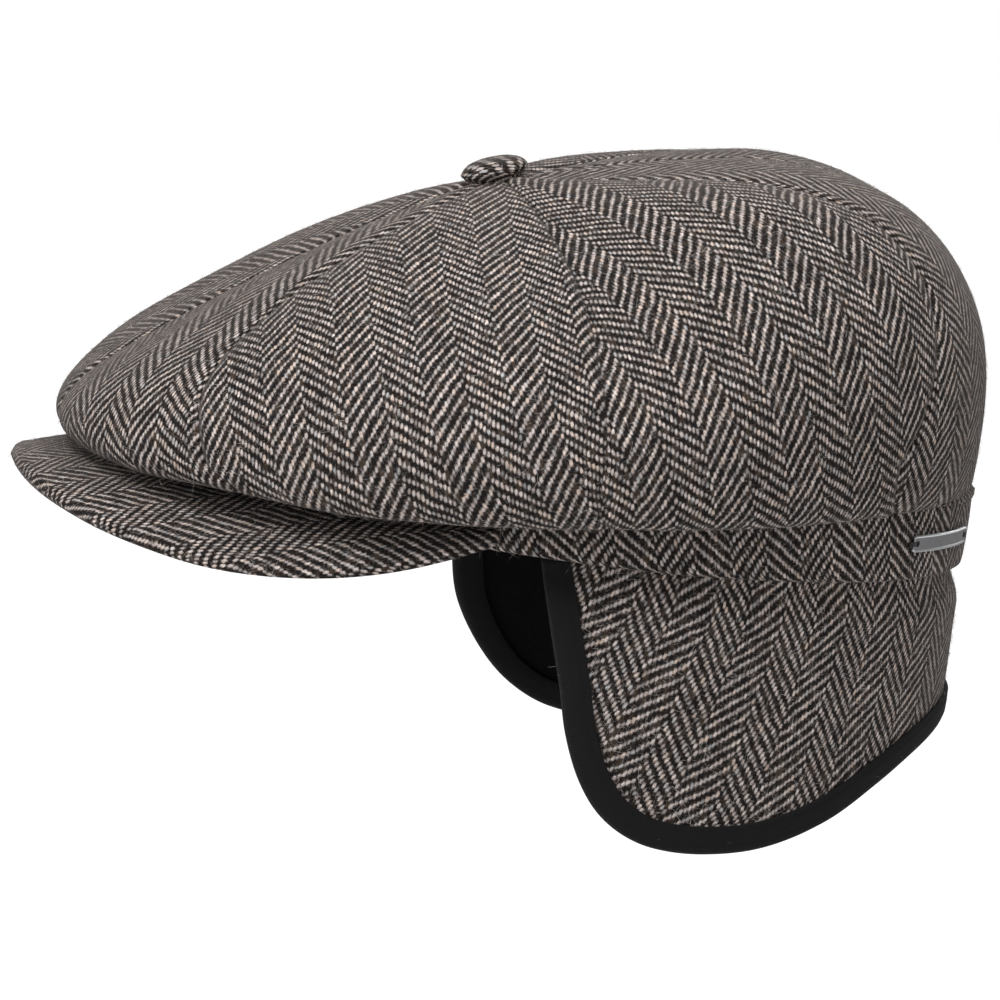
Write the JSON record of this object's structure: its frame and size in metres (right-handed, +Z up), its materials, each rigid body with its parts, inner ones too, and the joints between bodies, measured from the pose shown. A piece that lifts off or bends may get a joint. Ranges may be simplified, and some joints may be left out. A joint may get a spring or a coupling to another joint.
{
  "type": "eight-panel newsboy cap with ear and neck flap",
  "caption": "Eight-panel herringbone tweed newsboy cap with a short peak, a covered button and a bound ear-and-neck flap turned down from inside the headband.",
  "frame": {"origin": "centre of the head opening, in the plane of the headband's lower edge", "axes": "+Z up out of the crown, -Y forwards over the peak, +X towards the wearer's left"},
  "size_m": [0.215, 0.2586, 0.1731],
  "materials": {
    "tweed": "brushed wool herringbone, dark brown and greige, matte",
    "lining": "black brushed fleece, matte",
    "binding": "black woven tape, matte",
    "plate": "blank, satin grey metal"
  },
  "bodies": {
    "root": {"crown_panel_1": "tweed", "crown_panel_2": "tweed", "crown_panel_3": "tweed", "crown_panel_4": "tweed", "crown_panel_5": "tweed", "crown_panel_6": "tweed", "crown_panel_7": "tweed", "crown_panel_8": "tweed", "button": "tweed", "band": "tweed", "peak": "tweed", "ear_flap": "tweed", "flap_lining": "lining", "flap_binding": "binding", "name_plate": "plate"}
  },
  "joints": []
}
